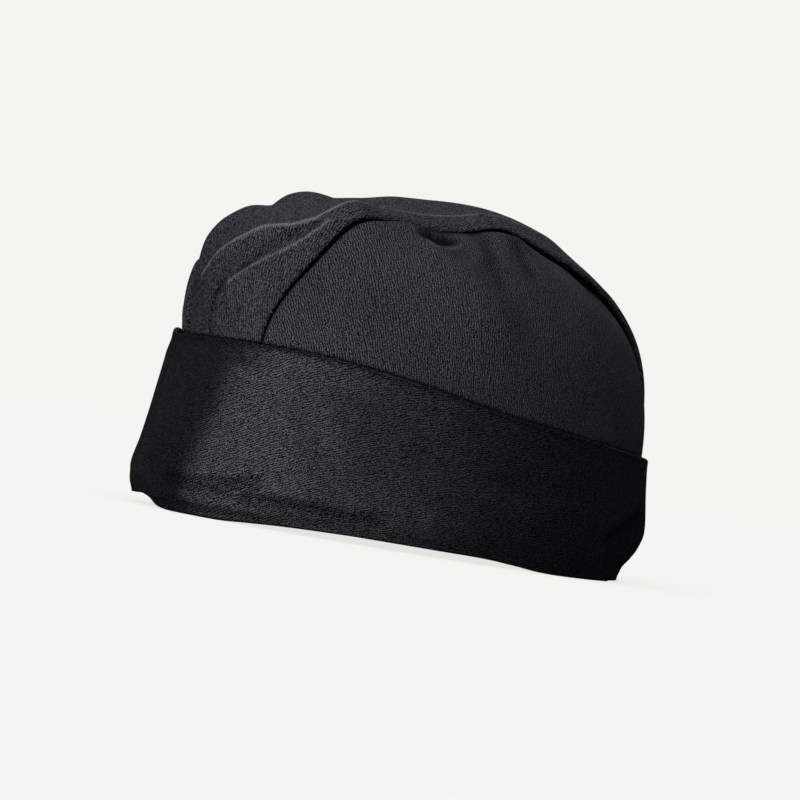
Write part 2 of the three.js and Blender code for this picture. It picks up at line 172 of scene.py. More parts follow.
STRIP_FOLDS = table(
    FOLD_COLUMNS,
    (-0.16, -0.958, 0.24, -0.70, 0.16, -0.36, 1.6, 3.5, 5, 1.3, 1.0),
    (0.10, -0.83, 0.15, -0.79, 0.19, -0.74, 1.7, 7, 6, 2, 0),
    (0.08, -0.965, 0.215, -0.86, 0.30, -0.68, 1.3, 3, 4, 1.5, 0.6),
    (0.10, -0.93, 0.18, -0.83, 0.26, -0.71, -1.2, 2.2, 2.2, 1.8, -0.2),
    (0.24, -0.36, 0.25, -0.15, 0.26, 0.04, 0.9, 3, 5, 1.5, 0.6),
    (0.26, 0.07, 0.25, 0.20, 0.23, 0.34, 0.8, 3, 5, 1.5, 0.4),
    (-0.02, -0.95, 0.03, -0.92, 0.10, -0.87, -0.9, 4, 4, 2, 0),
    (-0.03, -1.00, -0.02, -0.99, 0.00, -0.975, -1.0, 2, 3, 1.8, -0.5),
    (-0.005, -0.998, 0.005, -0.993, 0.03, -0.982, 0.9, 2, 4, 1.5, 0.5),
    (-0.27, -0.93, -0.25, -0.90, -0.22, -0.86, 1.3, 5, 5, 2, 0),
    (-0.30, -0.86, -0.25, -0.83, -0.20, -0.80, 2.2, 7, 7, 2, 0),
    (-0.30, -0.66, -0.23, -0.67, -0.16, -0.68, -1.8, 5, 5, 2, 0),
    (-0.25, -0.56, -0.12, -0.58, 0.00, -0.60, 2.6, 7, 7, 2, 0),
    (-0.05, -0.44, 0.02, -0.43, 0.10, -0.42, -1.2, 7, 7, 2, 0),
    (0.02, -0.20, 0.08, 0.10, 0.18, 0.40, 1.8, 10, 10, 2, 0),
)

LEFT_FOLDS = table(
    FOLD_COLUMNS,
    (0.48, 0.10, 0.60, 0.20, 0.72, 0.30, 1.4, 10, 10, 2, 0),
    (0.40, 0.52, 0.45, 0.55, 0.50, 0.58, -1.6, 8, 8, 2, 0),
    (0.42, 0.02, 0.44, 0.07, 0.46, 0.12, 1.6, 6, 6, 2, 0),
    (0.50, -0.55, 0.68, -0.425, 0.86, -0.30, 1.4, 22, 22, 2, 0),
    (0.44, -0.30, 0.49, -0.31, 0.46, -0.22, -2.6, 4, 4, 1.8, -1.0),
    (0.52, -0.37, 0.59, -0.31, 0.51, -0.18, 1.1, 3, 3, 1.6, 0.25),
    (0.60, -0.22, 0.75, -0.12, 0.88, -0.03, -1.0, 8, 8, 2, 0),
    (0.44, -0.03, 0.58, -0.07, 0.74, -0.10, -0.7, 2.5, 6, 1.6, -0.25),
    (0.46, 0.11, 0.57, 0.095, 0.66, 0.09, -0.7, 2, 5, 1.6, -0.3),
    (0.42, -0.12, 0.52, -0.12, 0.60, -0.13, 1.2, 4, 4, 2, 0),
    (0.55, -0.38, 0.70, -0.28, 0.85, -0.17, 1.4, 9, 14, 1.8, 0),
)

RIGHT_FOLDS = table(
    FOLD_COLUMNS,
    (-0.45, -0.89, -0.595, -0.78, -0.74, -0.67, 1.9, 8, 8, 2, 0),
    (-0.42, -0.84, -0.485, -0.72, -0.55, -0.60, 0.8, 18, 18, 2, 0),
    (-0.42, -0.40, -0.46, -0.30, -0.50, -0.20, 2.4, 14, 14, 2, 0),
    (-0.60, 0.20, -0.55, 0.35, -0.50, 0.50, 2.5, 18, 18, 2, 0),
    (-0.36, -0.935, -0.39, -0.905, -0.41, -0.87, 2.1, 4.5, 4.5, 2, 0),
)

# The slow unevenness of each piece: its height, the distance between its bumps, and its fixed seed

RIPPLES = {
    "band": (0.2 * MM, 14 * MM, 3),
    "strip": (0.15 * MM, 11 * MM, 5),
    "left": (0.2 * MM, 15 * MM, 7),
    "right": (0.2 * MM, 15 * MM, 11),
}


# Sizes and colours that a user would change


def length_setting(name, description, default):
    return bpy.props.FloatProperty(name=name, description=description, default=default, unit="LENGTH")


def share_setting(name, description, default):
    return bpy.props.FloatProperty(
        name=name, description=description, default=default, subtype="FACTOR", min=0, max=1
    )


def colour_setting(name, description, default):
    return bpy.props.FloatVectorProperty(
        name=name, description=description, default=default, subtype="COLOR", size=3, min=0, max=1
    )


class CapSizes(bpy.types.PropertyGroup):
    """The sizes that the whole cap follows."""

    side_reach: length_setting("Side reach", "From the middle to the band's outside at the side", 0.087)
    front_reach: length_setting("Front reach", "From the middle to the band's outside at the front", 0.1015)
    back_reach: length_setting("Back reach", "From the middle to the band's outside at the back", 0.109)
    band_height: length_setting("Band height", "Height of the folded band", 0.065)
    crown_height: length_setting("Crown height", "Height of the crown before its puffs", 0.124)
    strip_width: length_setting("Strip width", "Width of the strip over the top of the head", 0.054)
    band_thickness: length_setting("Band thickness", "Two layers of cloth and the air between them", 0.0024)
    panel_thickness: length_setting("Panel thickness", "Thickness of the crown's cloth", 0.0012)
    piece_gap: length_setting("Piece gap", "Clearance between two pieces", 0.0004)
    gather_depth: length_setting("Gather depth", "Height of the gathers at the back of the band", 0.0026)
    gather_count: bpy.props.FloatProperty(
        name="Gather count",
        description="Number of gathers, as if they ran right round the band",
        default=32,
        min=4,
    )


class TwillFinish(bpy.types.PropertyGroup):
    """The finish of the cloth."""

    cloth_colour: colour_setting("Cloth colour", "Colour of the ribs of the twill", (0.0152, 0.0149, 0.0186))
    # Colour of rubbed wear, which also paints the highlights along fold crests and the strip's right edge
    wear_and_highlight_colour: colour_setting("Worn colour", "Colour where folds and edges are rubbed", (0.26, 0.255, 0.28))
    rib_pitch: length_setting("Rib pitch", "Distance from one rib of the twill to the next", 0.0009)
    rib_height: length_setting("Rib height", "Height of the ribs of the twill", 0.00004)
    band_roughness: share_setting("Band roughness", "Roughness of the band, which is pressed smooth", 0.33)
    crown_roughness: share_setting("Crown roughness", "Roughness of the strip and the side panels", 0.58)
    band_shine: share_setting("Band shine", "Specular level of the band's ribs", 0.75)
    crown_shine: share_setting("Crown shine", "Specular level of the crown's ribs", 0.75)
    sheen: share_setting("Sheen", "Strength of the soft shine of the cloth's fibres at its outline", 0.03)


class StudioLight(bpy.types.PropertyGroup):
    """The soft light of the stage."""

    power: bpy.props.FloatProperty(
        name="Power",
        description="Strength of all the soft lights together",
        default=3.25,
        unit="POWER",
    )
    backdrop_colour: colour_setting(
        "Backdrop colour", "Colour of the pale floor and of what lies behind it", (0.9, 0.91, 0.89)
    )


# Plain helpers


def ease(value):
    """A smooth step from 0 to 1."""
    value = np.clip(value, 0, 1)
    return value * value * (3 - 2 * value)


def mix(a, b, share):
    return a + (b - a) * share


def stack(*parts):
    """Points from their coordinates."""
    return np.stack(np.broadcast_arrays(*parts), axis=-1)


def unit(vectors):
    return vectors / np.maximum(np.linalg.norm(vectors, axis=-1, keepdims=True), 1e-12)


def along(rows, place, column, at):
    """A column of a table at places along another column, smoothly and without overshoot."""
    x, y = rows[place], rows[column]
    rise = np.diff(y) / np.diff(x)
    slope = np.zeros_like(y)
    same = rise[:-1] * rise[1:] > 0
    total = np.where(same, rise[:-1] + rise[1:], 1)
    slope[1:-1] = np.where(same, 2 * rise[:-1] * rise[1:] / total, 0)
    i = np.clip(np.searchsorted(x, at, side="right") - 1, 0, len(x) - 2)
    span = x[i + 1] - x[i]
    t = np.clip((at - x[i]) / span, 0, 1)
    ends = y[i] * (1 + 2 * t) * (1 - t) ** 2 + y[i + 1] * (3 - 2 * t) * t**2
    return ends + span * t * (1 - t) * (slope[i] * (1 - t) - slope[i + 1] * t)


def on_oval(azimuth, side, front, back):
    """Where an oval with its own reach to the side, front and back passes an azimuth."""
    forward = np.cos(np.radians(azimuth))
    return side * np.sin(np.radians(azimuth)), -np.where(forward > 0, front, back) * forward


def normal_of(surface, u, v, step=1e-3):
    """The normal of a surface at places on it, from two small steps along it."""
    along_u = surface(u + step, v) - surface(u - step, v)
    along_v = surface(u, v + step) - surface(u, v - step)
    return unit(np.cross(along_u, along_v))


def fold_lift(folds, points, surface):
    """The lift, and the rubbing and painted light, that folds give at points. Each fold is a line drawn on
    the surface.

    Above 0 this is a rubbed crease with a painted highlight along it, and below 0 painted shade at the bottom
    of a crease.
    """
    lift = np.zeros(points.shape[:-1])
    wear = np.zeros(points.shape[:-1])
    middle = np.array([0, 0, FOLD_CENTRE])
    for k in range(len(folds["lift"])):
        fold = {name: column[k] for name, column in folds.items()}
        t = np.linspace(0, 1, FOLD_PIECES + 1)
        ways = [(1 - t) * (1 - 2 * t), 4 * t * (1 - t), t * (2 * t - 1)]
        x = sum(way * fold[name] for way, name in zip(ways, ("x0", "x1", "x2")))
        y = sum(way * fold[name] for way, name in zip(ways, ("y0", "y1", "y2")))
        line = surface(x, y)
        nearest = np.full(lift.shape, np.inf)
        side = np.zeros(lift.shape)
        for start, end in zip(line[:-1], line[1:]):
            run = end - start
            t = np.clip((points - start) @ run / (run @ run), 0, 1)
            apart = points - start - t[..., None] * run
            distance = np.linalg.norm(apart, axis=-1)
            leftwards = np.cross((start + end) / 2 - middle, run)
            side = np.where(distance < nearest, apart @ unit(leftwards), side)
            nearest = np.minimum(nearest, distance)
        share = ease(side / SIDE_BLEND / 2 + 0.5)
        width = mix(fold["right"], fold["left"], share) * MM
        lift += fold["lift"] * MM * np.exp(-((nearest / width) ** fold["power"]))
        rubbed_and_painted_light = np.exp(-((nearest / (CREASE_WIDTH if fold["wear"] > 0 else width)) ** 2))
        wear = np.where(np.abs(fold["wear"]) * rubbed_and_painted_light > np.abs(wear), fold["wear"] * rubbed_and_painted_light, wear)
    return lift, wear


FOLD_PIECES = 16  # straight pieces in the line of a fold
CREASE_WIDTH = 0.55 * MM  # of the line in which a fold is rubbed and given a painted highlight
SIDE_BLEND = 0.5 * MM  # distance over which a fold's left width passes into its right one
FOLD_CENTRE = 0.05  # height of the point that all surfaces of the cap face away from


def unevenness(cloth, cell, seed):
    """Slow random unevenness between -1 and 1 over the cloth, with bumps about one cell apart."""
    dice = np.random.default_rng(seed)
    place = cloth / cell
    place = place - place.reshape(-1, 2).min(axis=0)
    count = np.ceil(place.reshape(-1, 2).max(axis=0)).astype(int) + 2
    knots = dice.uniform(-1, 1, count)
    i, j = np.floor(place[..., 0]).astype(int), np.floor(place[..., 1]).astype(int)
    s, t = ease(place[..., 0] - i), ease(place[..., 1] - j)
    low = mix(knots[i, j], knots[i + 1, j], s)
    high = mix(knots[i, j + 1], knots[i + 1, j + 1], s)
    return mix(low, high, t)


def ripple(name, cloth):
    """The unevenness of a piece at places on its cloth."""
    height, cell, seed = RIPPLES[name]
    return height * unevenness(cloth, cell, seed)


def flattened(points, rounds=400, haste=1.6):
    """The cut of a grid of cloth points: the flat grid that keeps the lengths of its sides and diagonals."""
    columns, rows = points.shape[:2]
    middle_column, middle_row = columns // 2, rows // 2
    steps = np.linalg.norm(np.diff(points, axis=0), axis=-1)
    runs = np.concatenate([np.zeros((1, rows)), np.cumsum(steps, axis=0)])
    rises = np.linalg.norm(np.diff(points, axis=1), axis=-1)
    climbs = np.concatenate([np.zeros((columns, 1)), np.cumsum(rises, axis=1)], axis=1)
    flat = stack(runs - runs[middle_column], climbs - climbs[:, middle_row : middle_row + 1])
    full = slice(None)
    links = [
        ((slice(1, None), full), (slice(None, -1), full)),
        ((full, slice(1, None)), (full, slice(None, -1))),
        ((slice(1, None), slice(1, None)), (slice(None, -1), slice(None, -1))),
        ((slice(1, None), slice(None, -1)), (slice(None, -1), slice(1, None))),
    ]
    lengths = [np.linalg.norm(points[a] - points[b], axis=-1) for a, b in links]
    counts = np.zeros((columns, rows, 1))
    for a, b in links:
        counts[a] += 1
        counts[b] += 1
    for _ in range(rounds):
        moves = np.zeros_like(flat)
        for (a, b), length in zip(links, lengths):
            gap = flat[a] - flat[b]
            size = np.maximum(np.linalg.norm(gap, axis=-1), 1e-9)
            pull = gap * ((length - size) / size / 2)[..., None]
            moves[a] += pull
            moves[b] -= pull
        flat = flat + moves / counts * haste
    return flat


def cloth_lengths(points, coarse=6):
    """The same cut for a fine grid: found on a coarse grid, spread over the fine one and settled there."""
    columns, rows = points.shape[:2]
    picked_columns = np.unique(np.r_[np.arange(0, columns, coarse), columns - 1])
    picked_rows = np.unique(np.r_[np.arange(0, rows, coarse), rows - 1])
    flat = flattened(points[np.ix_(picked_columns, picked_rows)])

    def spread(line, picked, count):
        return np.interp(np.arange(count), picked, line)

    layers = []
    for layer in np.moveaxis(flat, -1, 0):
        wide = np.apply_along_axis(spread, 1, layer, picked_rows, rows)
        layers.append(np.apply_along_axis(spread, 0, wide, picked_columns, columns))
    return stack(*layers)


# The shapes that the pieces share


class BandShape:
    """The band's smooth outside."""

    def __init__(self, sizes):
        self.sizes = sizes

    def top(self, azimuth):
        return self.sizes.band_height * along(BAND_EDGES, "azimuth", "top", azimuth)

    def rim(self, azimuth):
        return self.sizes.band_height * along(BAND_EDGES, "azimuth", "rim", azimuth)

    def reach(self, share):
        """Its reach to the side, the front and the back at a share of its height."""
        return [
            getattr(self.sizes, f"{name}_reach") * along(BAND_SECTIONS, "height", name, share)
            for name in ("side", "front", "back")
        ]

    def girth(self):
        """Its length round the head at its widest."""
        return math.pi * (self.sizes.side_reach + (self.sizes.front_reach + self.sizes.back_reach) / 2)

    def smooth(self, azimuth, share):
        x, y = on_oval(azimuth, *self.reach(share))
        return stack(x, y, self.rim(azimuth) * (1 - share) ** 2 + self.top(azimuth) * share)


class CrownShape:
    """The crown's smooth outside, which the strip and both side panels share."""

    tuck = 5 * MM  # how far below the band's top the crown starts to lean in
    skirt = 6 * MM  # how far the crown runs down inside the band
    flare = 0.6 * MM  # of the skirt's foot, so that no light shines up beside it
    seam_allowance = 5 * MM
    shoulder = 1.9 * MM  # radius at which a panel turns in at its seam
    clearing = {"below": 0.5 * MM, "reach": 2 * MM}  # lifts start below the band's top and grow from there
    shade = 1.5 * MM  # how far above the band its edge keeps the light off
    # How the strip narrows at the front: by what share, up to which height, and how far it reaches
    narrowing = {"share": 0.2, "height": 36 * MM, "reach": 45 * MM, "fade": 40 * MM}

    def __init__(self, sizes):
        self.sizes = sizes
        self.band = BandShape(sizes)
        clearance = sizes.band_thickness + sizes.piece_gap
        self.reach = [reach - clearance for reach in self.band.reach(np.array(1.0))]
        self.arc = math.pi / 2 * self.reach[0]
        self.seam_at = sizes.strip_width / 2
        self.skirt_angle = self.skirt / self.arc * math.pi / 2

    def at(self, azimuth, down):
        """A point at an azimuth and a distance from the top, as a share of the way down to the band."""
        radius = np.sin(np.minimum(down, 1) * math.pi / 2)
        flared = radius + self.flare / self.reach[0] * np.clip((down - 1) * self.arc / self.skirt, 0, 1)
        x, y = on_oval(azimuth, *self.reach)
        x, y = x * flared, y * flared
        power = along(CROWN_OUTLINE, "azimuth", "power", azimuth)
        rise = np.maximum(0, 1 - radius**power) ** (1 / power)
        low = self.band.top(azimuth) - self.tuck
        height = mix(low, self.sizes.crown_height, rise)
        for dent_x, dent_y, lift, across, length in zip(*CROWN_DENTS.values()):
            aside = (x - dent_x * self.reach[0]) / (across * MM)
            away = (y - dent_y * self.reach[1]) / (length * MM)
            height = height + lift * MM * np.exp(-(aside**2) - away**2)
        return stack(x, y, height - np.maximum(0, down - 1) * self.arc)

    def on_map(self, u, v):
        """By the flattened map, in which the top is the origin and the band's top is a circle of radius 1."""
        return self.at(np.degrees(np.arctan2(u, -v)), np.hypot(u, v))

    def in_plan(self, across, lengthways):
        """By plan shares of the crown's half width and half length."""
        radius = np.minimum(1, np.hypot(across, lengthways))
        return self.at(np.degrees(np.arctan2(across, -lengthways)), np.arcsin(radius) * 2 / math.pi)

    def slice_on_map(self, x, over):
        """Where a slice at a distance across passes on the map, at angles over the head from the front."""
        across = x / self.reach[0]
        lengthways = np.sqrt(1 - across**2) * np.cos(np.clip(over, 0, math.pi))
        azimuth = np.arctan2(across, lengthways)
        radius = np.minimum(1, np.hypot(across, lengthways))
        below = np.maximum(0, -over) + np.maximum(0, over - math.pi)
        down = (np.arcsin(radius) + below) * 2 / math.pi
        return np.sin(azimuth) * down, -np.cos(azimuth) * down

    def in_slice(self, x, over):
        """In a slice at a distance across, at an angle over the head from the front to the back."""
        return self.on_map(*self.slice_on_map(x, over))

    def slice_normal(self, x, over, step=1e-3):
        """The outward normal within a slice, so that a point moved along it stays in the slice."""
        path = self.in_slice(x, over + step) - self.in_slice(x, over - step)
        return unit(stack(0, -path[..., 2], path[..., 1]))

    def narrowed(self, points):
        """The points with the seams drawn together where the strip narrows at the front."""
        x, y, z = np.moveaxis(points, -1, 0)
        low = ease(1 - (z - self.sizes.band_height) / self.narrowing["height"])
        forward = ease(-y / self.narrowing["fade"])
        pull = self.narrowing["share"] * (low * forward) * np.exp(-((x / self.narrowing["reach"]) ** 2))
        return stack(x * (1 - pull), y, z)

    def above_band(self, points):
        """How far points are above the band's top."""
        azimuth = np.degrees(np.arctan2(points[..., 0] / self.reach[0], -points[..., 1] / self.reach[1]))
        return points[..., 2] - self.band.top(azimuth)

    def clear_of_band(self, points):
        """Lifts fade out towards the band, which would otherwise be in their way."""
        return ease((self.above_band(points) + self.clearing["below"]) / self.clearing["reach"])

    def shade_of_band(self, points):
        """How much of the light the band's edge keeps off, just above it."""
        return 1 - ease(self.above_band(points) / self.shade)

    def stations(self, count, skirt_steps, crowding=0.0):
        """Angles over the head at which the crown is cut, from the front of the skirt to the back of it."""
        front = np.linspace(-self.skirt_angle, 0, skirt_steps + 1)[:-1]
        back = np.linspace(math.pi, math.pi + self.skirt_angle, skirt_steps + 1)[1:]
        share = np.linspace(0, 1, count)
        share = mix(share, share**2, crowding)
        return np.concatenate([front, share * math.pi, back])


def place_on_frame():
    """How far the shapes move so that the band stands where the frame has it."""
    low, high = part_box("band")
    sizes = bpy.context.scene.cap_sizes
    azimuth, share = np.meshgrid(np.linspace(-180, 180, 361), np.linspace(0, 1, 41))
    points = BandShape(sizes).smooth(azimuth, share).reshape(-1, 3)
    middle = (points.min(axis=0) + points.max(axis=0)) / 2
    return np.array([(low[0] + high[0]) / 2 - middle[0], (low[1] + high[1]) / 2 - middle[1], low[2]])


# Meshes


def shell_mesh(name, outer, inner, cloth, worn):
    """A closed piece of cloth from grids of its outside and inside. cloth is the flat cut of the grid."""
    columns, rows = outer.shape[:2]
    number = np.arange(columns * rows).reshape(columns, rows)
    under = number + columns * rows

    def quads(a, b, c, d):
        return np.stack([a, b, c, d], axis=-1).reshape(-1, 4)

    first, last = slice(None, -1), slice(1, None)
    faces = np.concatenate(
        [
            quads(number[first, first], number[last, first], number[last, last], number[first, last]),
            quads(under[first, first], under[first, last], under[last, last], under[last, first]),
            quads(number[first, 0], under[first, 0], under[last, 0], number[last, 0]),
            quads(number[first, -1], number[last, -1], under[last, -1], under[first, -1]),
            quads(number[0, first], number[0, last], under[0, last], under[0, first]),
            quads(number[-1, first], under[-1, first], under[-1, last], number[-1, last]),
        ]
    )
    points = np.concatenate([outer.reshape(-1, 3), inner.reshape(-1, 3)])
    if signed_volume(points, faces) < 0:
        faces = faces[:, ::-1]
    mesh = bpy.data.meshes.new(name)
    mesh.from_pydata(points.tolist(), [], faces.tolist())
    both = np.concatenate([cloth.reshape(-1, 2)] * 2)
    finish_mesh(mesh, both, np.concatenate([worn.ravel()] * 2))
    return mesh


def signed_volume(points, faces):
    """Positive where the faces point outwards."""
    a, b, c, d = (points[faces[:, k]] for k in range(4))
    return float(np.einsum("ij,ij->", a, np.cross(b, c)) + np.einsum("ij,ij->", a, np.cross(c, d))) / 6


def finish_mesh(mesh, cloth, worn):
    """Shades a mesh smoothly and gives it its cloth lengths as a UV map, and its wear with painted highlights
    and painted shade as an attribute.
    """
    loops = np.empty(len(mesh.loops), dtype=np.int32)
    mesh.loops.foreach_get("vertex_index", loops)
    if cloth is not None:
        layer = mesh.uv_layers.new(name="cloth")
        layer.data.foreach_set("uv", cloth[loops].astype(np.float32).ravel())
    attribute = mesh.attributes.new("worn", "FLOAT", "POINT")
    attribute.data.foreach_set("value", worn.astype(np.float32))
    mesh.polygons.foreach_set("use_smooth", np.ones(len(mesh.polygons), dtype=bool))
    mesh.validate()
    mesh.update()


def show(name, mesh, material):
    """An object at the origin for a finished mesh."""
    mesh.materials.clear()
    mesh.materials.append(material)
    piece = bpy.data.objects.new(name, mesh)
    bpy.context.scene.collection.objects.link(piece)
    return piece


# Node trees


class Socket:
    """An output of a node. Sums on it add Math nodes."""

    def __init__(self, graph, output):
        self.graph = graph
        self.output = output

    def __add__(self, other):
        return self.graph.math("ADD", self, other)

    def __sub__(self, other):
        return self.graph.math("SUBTRACT", self, other)

    def __rsub__(self, other):
        return self.graph.math("SUBTRACT", other, self)

    def __mul__(self, other):
        return self.graph.math("MULTIPLY", self, other)

    def __truediv__(self, other):
        return self.graph.math("DIVIDE", self, other)

    def __pow__(self, other):
        return self.graph.math("POWER", self, other)

    __radd__ = __add__
    __rmul__ = __mul__


class Graph:
    """A node tree of a material or of Geometry Nodes."""

    def __init__(self, tree):
        self.tree = tree

    def add(self, kind, settings=None, inputs=None, output=0):
        """A node, with its settings set first and then its inputs. Returns one of its outputs."""
        node = self.tree.nodes.new(kind)
        for name, value in (settings or {}).items():
            if name == "points":
                self.set_points(node.mapping, value)
            else:
                setattr(node, name, value)
        for name, value in (inputs or {}).items():
            socket = node.inputs[name]
            if isinstance(value, Socket):
                self.tree.links.new(value.output, socket)
            else:
                socket.default_value = value
        return Socket(self, node.outputs[output]) if node.outputs else node

    def set_points(self, mapping, points):
        mapping.use_clip = False
        curve = mapping.curves[0]
        while len(curve.points) < len(points):
            curve.points.new(1, 1)
        for point, place in zip(curve.points, points):
            point.location = place
            point.handle_type = "AUTO_CLAMPED"
        mapping.update()

    def math(self, operation, *values, clamp=False):
        settings = {"operation": operation, "use_clamp": clamp}
        return self.add("ShaderNodeMath", settings, dict(enumerate(values)))

    def clamp(self, value):
        return self.math("ADD", value, 0, clamp=True)

    def smooth_step(self, value, low, high):
        settings = {"interpolation_type": "SMOOTHSTEP"}
        return self.add("ShaderNodeMapRange", settings, {"Value": value, "From Min": low, "From Max": high})

    def vector(self, x, y, z):
        return self.add("ShaderNodeCombineXYZ", inputs={"X": x, "Y": y, "Z": z})

    def part(self, vector, axis):
        return self.add("ShaderNodeSeparateXYZ", inputs={"Vector": vector}, output=axis)

    def blend(self, share, a, b):
        """A mix of two colours."""
        return self.add("ShaderNodeMix", {"data_type": "RGBA"}, {0: share, 6: a, 7: b}, output=2)


def graph_of(owner):
    """The emptied node tree of a material or a world."""
    owner.use_nodes = True
    owner.node_tree.nodes.clear()
    return Graph(owner.node_tree)


# The cloth


def twill(name, turn, seed, roughness, shine, paleness, depth=1):
    """Black twill on a piece's own cloth lengths, its ribs turned away from the length of the cloth."""
    finish = bpy.context.scene.cap_finish
    material = bpy.data.materials.new(name)
    graph = graph_of(material)
    cloth = graph.add("ShaderNodeUVMap", {"uv_map": "cloth"})
    turned = graph.add(
        "ShaderNodeMapping", inputs={"Vector": cloth, "Rotation": (0, 0, math.radians(turn))}
    )
    across, length = graph.part(turned, "X"), graph.part(turned, "Y")

    def noise(scale, detail, stretch=1.0, shift=0.0):
        """Noise about that many bumps to a metre, drawn out along the ribs by the stretch."""
        place = graph.vector(across * scale + shift, length * (scale / stretch), seed * 1.7)
        settings = {"noise_dimensions": "3D"}
        return graph.add("ShaderNodeTexNoise", settings, {"Vector": place, "Scale": 1, "Detail": detail})

    pitch = finish.rib_pitch
    drift = (noise(DRIFT["bumps"], 1) - 0.5) * DRIFT["reach"]
    jitter = (noise(JITTER["bumps"] / pitch, 1, 1.5, 3.1) - 0.5) * JITTER["reach"]
    swing = graph.math("SINE", (across / pitch + drift + jitter) * (2 * math.pi))
    breaks = graph.smooth_step(noise(BREAKS["bumps"] / pitch, 1, 1.3, 9.0), BREAKS["from"], BREAKS["full"])
    grain = noise(GRAIN["bumps"] / pitch, 0, 0.9, 5.0) - 0.5
    rib = graph.clamp(0.54 + 0.5 * swing * (0.2 + 0.8 * breaks) + GRAIN["weight"] * grain) ** RIB_CONTRAST
    slow = noise(PATCH_BUMPS, 2, 1.0, 1.0) - 0.5
    # The attribute holds rubbed wear with painted highlights above 0, and painted shade below 0.
    worn = graph.add("ShaderNodeAttribute", {"attribute_name": "worn"}, output="Fac")
    dark = [DARK_SHARE * paleness * part for part in finish.cloth_colour]
    light = [LIGHT_SHARE * paleness * part for part in finish.cloth_colour]
    shade = graph.clamp(rib * (0.85 + 0.5 * slow) + 0.15 * slow)
    ribbed = graph.blend(shade, (*dark, 1), (*light, 1))
    # The part above 0 pales the colour as wear and painted highlight; the part below 0 is painted shade.
    wear_and_painted_highlight, shaded = graph.clamp(worn), graph.clamp(worn * -1)
    rubbed_and_painted_light = graph.blend(graph.clamp(wear_and_painted_highlight * (0.6 + 0.5 * rib)), ribbed, (*finish.wear_and_highlight_colour, 1))
    bump = graph.add(
        "ShaderNodeBump", inputs={"Strength": 1.0, "Distance": 1.0, "Height": rib * finish.rib_height}
    )
    ribs = graph.add(
        "ShaderNodeBsdfPrincipled",
        inputs={
            "Base Color": rubbed_and_painted_light,
            "Roughness": graph.clamp(roughness + 0.12 * slow),
            "Normal": bump,
            "Specular IOR Level": shine,
            "Sheen Weight": finish.sheen,
            "Sheen Roughness": 0.35,
            "Sheen Tint": (0.8, 0.8, 0.9, 1),
        },
    )
    valleys_and_painted_shade = graph.add(
        "ShaderNodeBsdfPrincipled",
        inputs={"Base Color": (*dark, 1), "Roughness": 0.9, "Normal": bump, "Specular IOR Level": 0.1},
    )
    # The dark between the ribs, and the painted shade, which turns the cloth to the dark matt shader.
    valley_and_painted_shade = graph.clamp(graph.clamp(1.1 - 1.3 * rib) * depth * (1 - wear_and_painted_highlight) + shaded)
    shader = graph.add("ShaderNodeMixShader", inputs={0: valley_and_painted_shade, 1: ribs, 2: valleys_and_painted_shade})
    graph.add("ShaderNodeOutputMaterial", inputs={"Surface": shader})
    return material


# The weave's unevenness. Bumps are counted to a rib's pitch, those of the drift and the patches to a metre
DRIFT = {"bumps": 45, "reach": 2.4}  # how far the ribs wander, in pitches
JITTER = {"bumps": 0.45, "reach": 1.6}
BREAKS = {"bumps": 1.3, "from": 0.36, "full": 0.62}  # where the ribs run on and where they break off
GRAIN = {"bumps": 2.0, "weight": 1.9}
PATCH_BUMPS = 24
RIB_CONTRAST = 1.6
DARK_SHARE = 0.02  # of the cloth's colour, at the bottom between its ribs
LIGHT_SHARE = 2.3  # of the cloth's colour, on top of its ribs


def crown_twill(name, turn, seed, depth=1):
    """The twill of the crown, which is brushed."""
    finish = bpy.context.scene.cap_finish
    return twill(name, turn, seed, finish.crown_roughness, finish.crown_shine, CROWN_PALENESS, depth)


# The band


